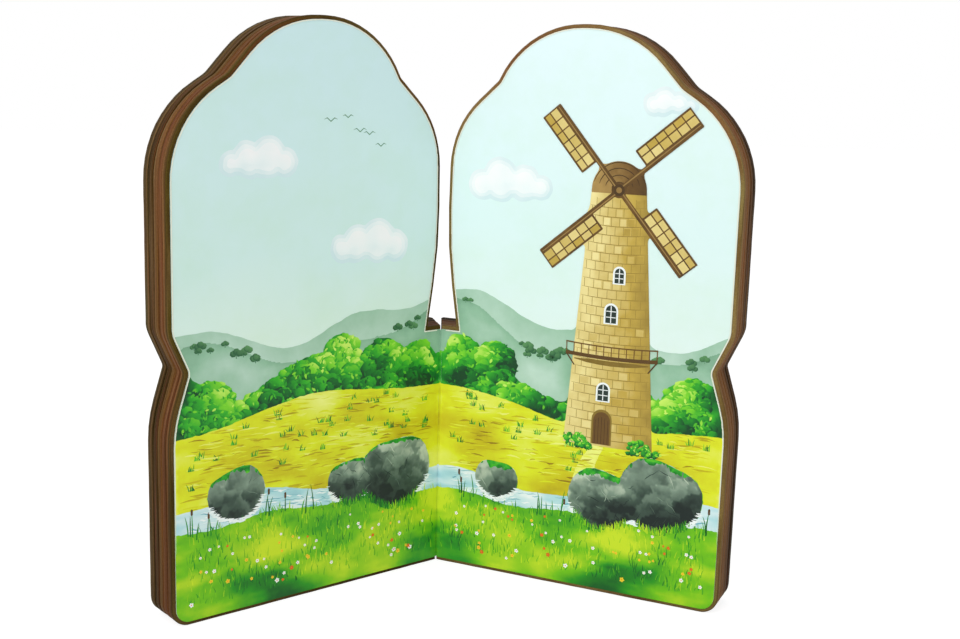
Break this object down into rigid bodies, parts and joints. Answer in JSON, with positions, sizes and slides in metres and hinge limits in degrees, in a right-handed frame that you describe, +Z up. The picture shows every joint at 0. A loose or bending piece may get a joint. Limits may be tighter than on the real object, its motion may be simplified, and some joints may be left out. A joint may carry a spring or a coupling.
{
  "type": "foam picture book",
  "caption": "Thick die-cut picture book of soft foam boards, standing open in a V, with glossy printed pages, a fold at the gutter and two covers that swing away.",
  "frame": {"origin": "middle of the bounding box on the surface that the book stands on", "axes": "+X to the reader's right, +Y away from the reader, +Z up; the open pages face -Y"},
  "size_m": [0.2572, 0.096, 0.254],
  "materials": {
    "page_foam": "fine closed-cell foam, cut edge",
    "cover_foam": "fine closed-cell foam, cut edge",
    "page_print": "glossy laminated print",
    "lining_print": "glossy laminated print",
    "cover_print": "glossy laminated print",
    "white_print": "glossy laminated print",
    "grey_green_print": "glossy laminated print",
    "leaf_print": "glossy laminated print",
    "yellow_print": "glossy laminated print",
    "water_print": "glossy laminated print",
    "meadow_print": "glossy laminated print",
    "stone_print": "glossy laminated print",
    "tan_print": "glossy laminated print",
    "brown_print": "glossy laminated print"
  },
  "bodies": {
    "left_half": {"left_page_block": "page_foam", "left_page_sheet": "page_print", "left_back_sheet": "lining_print", "left_clouds": "white_print", "left_hills": "grey_green_print", "left_hedge": "leaf_print", "left_field": "yellow_print", "left_brook": "water_print", "left_meadow": "meadow_print", "left_boulders": "stone_print"},
    "right_half": {"right_page_block": "page_foam", "right_page_sheet": "page_print", "right_back_sheet": "lining_print", "right_clouds": "white_print", "right_hills": "grey_green_print", "right_hedge": "leaf_print", "right_field": "yellow_print", "right_brook": "water_print", "right_meadow": "meadow_print", "right_boulders": "stone_print", "windmill": "tan_print", "windmill_sails": "brown_print"},
    "left_cover": {"left_cover": "cover_foam", "left_lining_sheet": "lining_print", "left_cover_sheet": "cover_print"},
    "right_cover": {"right_cover": "cover_foam", "right_lining_sheet": "lining_print", "right_cover_sheet": "cover_print"}
  },
  "joints": [
    {"name": "gutter_fold", "type": "hinge", "parent": "left_half", "child": "right_half", "pos_m": [0, 0.0256, 0], "axis": [0, 0, 1], "range_deg": [-115.4, 7]},
    {"name": "left_cover_fold", "type": "hinge", "parent": "left_half", "child": "left_cover", "pos_m": [-0.00395, 0.046, 0], "axis": [0, 0, -1], "range_deg": [0, 110]},
    {"name": "right_cover_fold", "type": "hinge", "parent": "right_half", "child": "right_cover", "pos_m": [0.00395, 0.046, 0], "axis": [0, 0, 1], "range_deg": [0, 110]}
  ]
}
